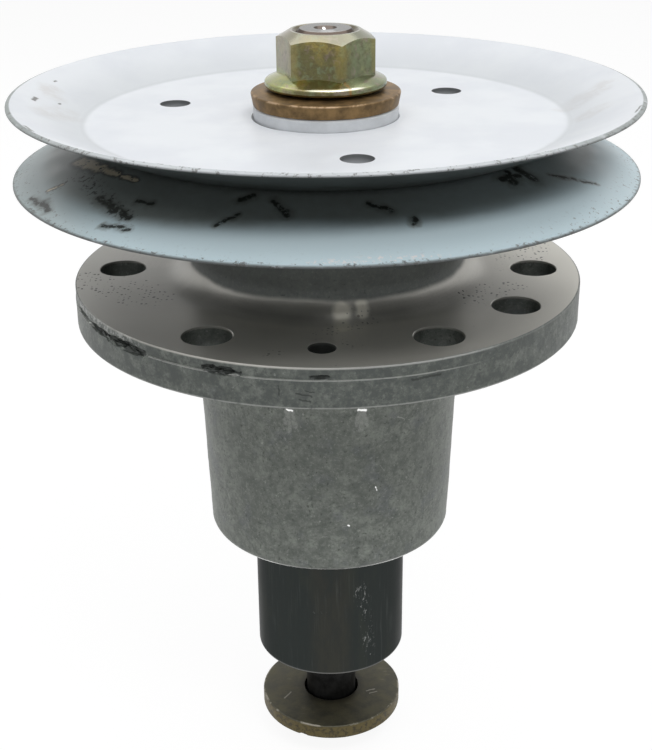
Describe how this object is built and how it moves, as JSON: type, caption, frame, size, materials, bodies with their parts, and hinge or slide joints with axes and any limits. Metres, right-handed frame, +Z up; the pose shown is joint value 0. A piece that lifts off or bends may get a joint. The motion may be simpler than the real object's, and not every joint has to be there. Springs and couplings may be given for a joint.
{
  "type": "mower deck spindle",
  "caption": "Cast flange housing carrying a turning spindle on ball bearings, with a V-belt pulley above and a blade bolt below.",
  "frame": {"origin": "centre of the flange's underside, where the housing sits on the mower deck", "axes": "+Z up the spindle's axis from the blade to the pulley, +X through a deck bolt hole"},
  "size_m": [0.1714, 0.1714, 0.2262],
  "materials": {
    "cast_aluminium": "as cast, with a turned flange face",
    "bearing_steel": "ground",
    "ball_steel": "polished",
    "cage_brass": "machined",
    "shield_steel": "pressed",
    "seal_steel": "pressed",
    "seal_rubber": "moulded",
    "spring_wire": "drawn",
    "black_steel": "black oxide",
    "plain_steel": "turned",
    "hub_paint": "painted",
    "pulley_paint": "painted, chipped at the rims",
    "brown_spring_steel": "brown phosphate",
    "yellow_zinc": "yellow zinc plated",
    "black_bolt_steel": "black oxide",
    "olive_washer_steel": "worn black oxide with rust"
  },
  "bodies": {
    "housing": {"housing": "cast_aluminium", "upper_bearing_outer_ring": "bearing_steel", "upper_bearing_top_shield": "shield_steel", "upper_bearing_bottom_shield": "shield_steel", "upper_seal_case": "seal_steel", "upper_seal_lip": "seal_rubber", "upper_seal_spring": "spring_wire", "lower_bearing_outer_ring": "bearing_steel", "lower_bearing_top_shield": "shield_steel", "lower_bearing_bottom_shield": "shield_steel", "lower_seal_case": "seal_steel", "lower_seal_lip": "seal_rubber", "lower_seal_spring": "spring_wire"},
    "rotor": {"spindle_shaft": "black_steel", "bearing_spacer": "plain_steel", "drive_key": "plain_steel", "pulley_hub": "hub_paint", "hub_weld": "hub_paint", "sheave_upper_half": "pulley_paint", "sheave_lower_half": "pulley_paint", "spring_disc": "brown_spring_steel", "flange_nut": "yellow_zinc", "blade_bolt": "black_bolt_steel", "blade_washer": "olive_washer_steel", "upper_bearing_inner_ring": "bearing_steel", "lower_bearing_inner_ring": "bearing_steel"},
    "upper_ball_set": {"upper_bearing_balls": "ball_steel", "upper_bearing_cage": "cage_brass"},
    "lower_ball_set": {"lower_bearing_balls": "ball_steel", "lower_bearing_cage": "cage_brass"}
  },
  "joints": [
    {"name": "spindle_spin", "type": "hinge", "parent": "housing", "child": "rotor", "pos_m": [0, 0, 0], "axis": [0, 0, 1], "continuous": true},
    {"name": "upper_ball_roll", "type": "hinge", "parent": "housing", "child": "upper_ball_set", "pos_m": [0, 0, 0.03], "axis": [0, 0, 1], "continuous": true},
    {"name": "lower_ball_roll", "type": "hinge", "parent": "housing", "child": "lower_ball_set", "pos_m": [0, 0, -0.0535], "axis": [0, 0, 1], "continuous": true}
  ],
  "couplings": [
    {"joint": "upper_ball_roll", "follows": "spindle_spin", "ratio": 0.39647},
    {"joint": "lower_ball_roll", "follows": "spindle_spin", "ratio": 0.39647}
  ]
}
